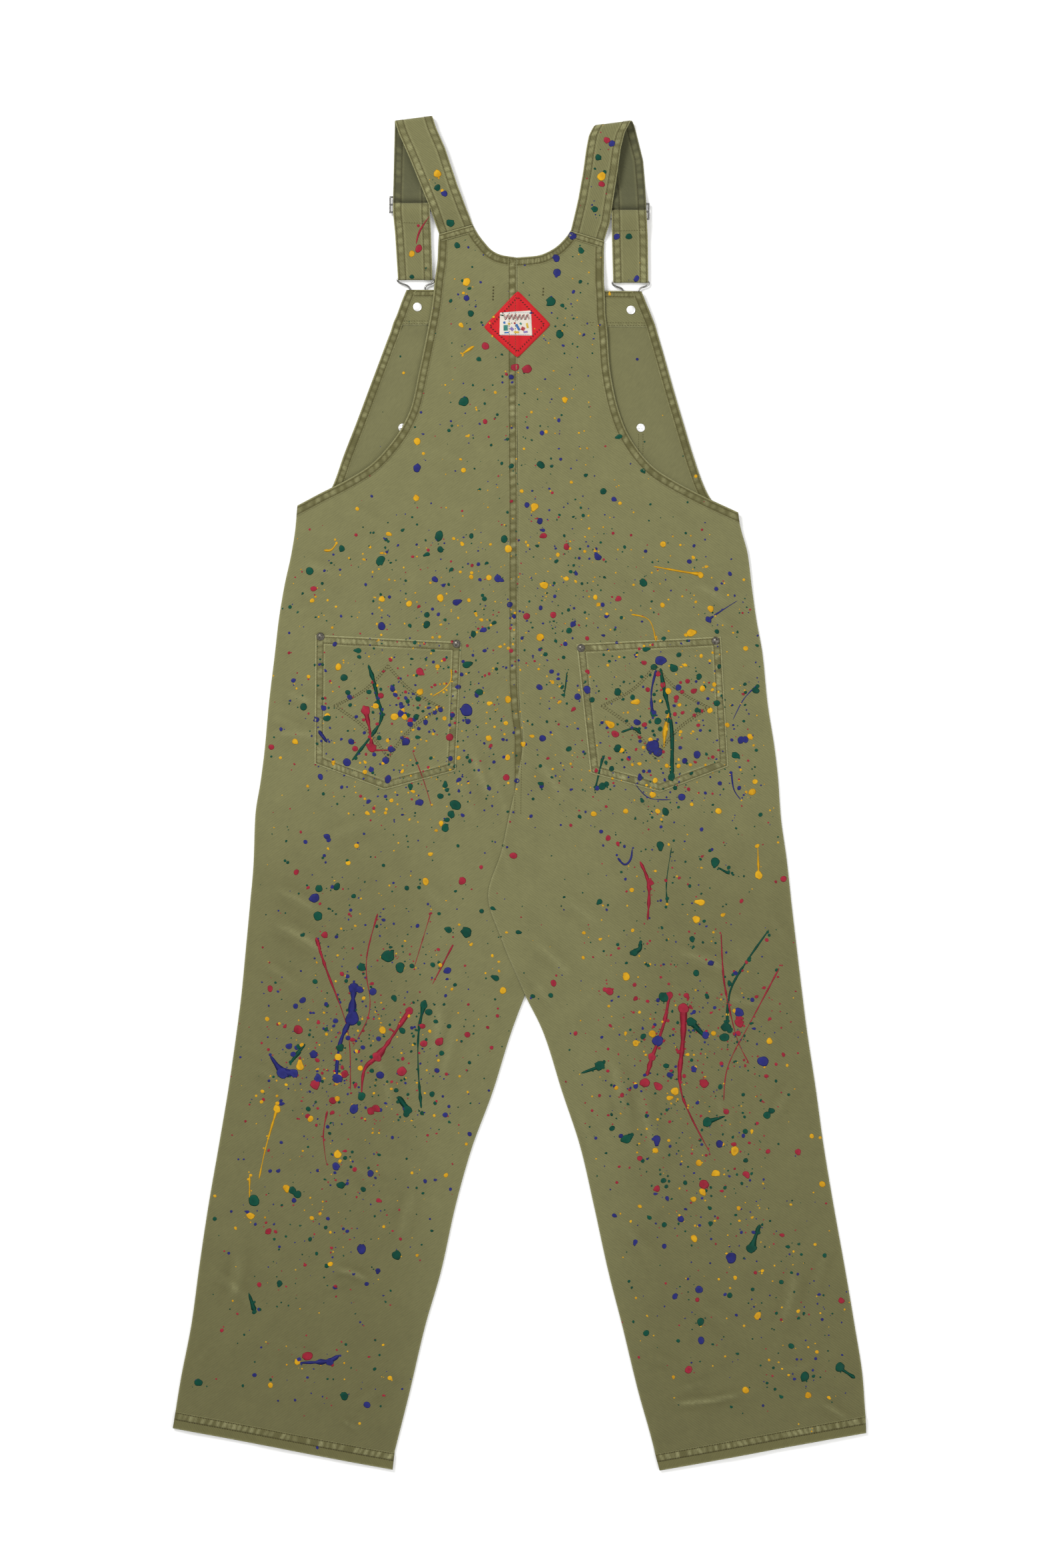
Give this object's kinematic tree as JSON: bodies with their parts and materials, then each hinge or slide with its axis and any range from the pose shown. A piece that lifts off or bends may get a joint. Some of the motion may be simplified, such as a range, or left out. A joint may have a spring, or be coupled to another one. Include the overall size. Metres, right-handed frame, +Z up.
{
  "type": "paint spattered overalls",
  "caption": "Wide-leg cotton twill bib overalls with paint spatters, laid flat back side up, with patch back pockets, wire hook buckles and strap sliders.",
  "frame": {"origin": "middle of the garment's outline, on the surface it lies on", "axes": "+X to the right across the garment as it is seen from above, +Y from the hems to the shoulder folds, +Z up out of the surface"},
  "size_m": [0.812, 1.586, 0.0131],
  "materials": {
    "twill": "washed cotton twill, matt",
    "twill_inside": "plain wrong side of the twill, matt",
    "label_red": "smooth woven patch with a low sheen",
    "label_white": "matt woven inset",
    "nickel": "polished nickel plate",
    "paint_green": "dried acrylic paint, satin",
    "paint_blue": "dried acrylic paint, satin",
    "paint_yellow": "dried acrylic paint, satin",
    "paint_red": "dried acrylic paint, satin"
  },
  "bodies": {
    "root": {"back_left": "twill", "back_right": "twill", "front_left": "twill", "front_right": "twill", "bib_front": "twill_inside", "bib_facing": "twill", "bib_pocket": "twill", "back_pocket_left": "twill", "back_pocket_right": "twill", "back_rivet_1": "nickel", "back_rivet_2": "nickel", "back_rivet_3": "nickel", "back_rivet_4": "nickel", "label_patch": "label_red", "label_inset": "label_white", "bib_button_left": "nickel", "bib_tack_left": "nickel", "bib_button_right": "nickel", "bib_tack_right": "nickel", "bib_rivet_left": "nickel", "bib_rivet_right": "nickel", "strap_left": "twill", "slider_left": "nickel", "bail_left": "nickel", "strap_right": "twill", "slider_right": "nickel", "bail_right": "nickel"}
  },
  "joints": []
}
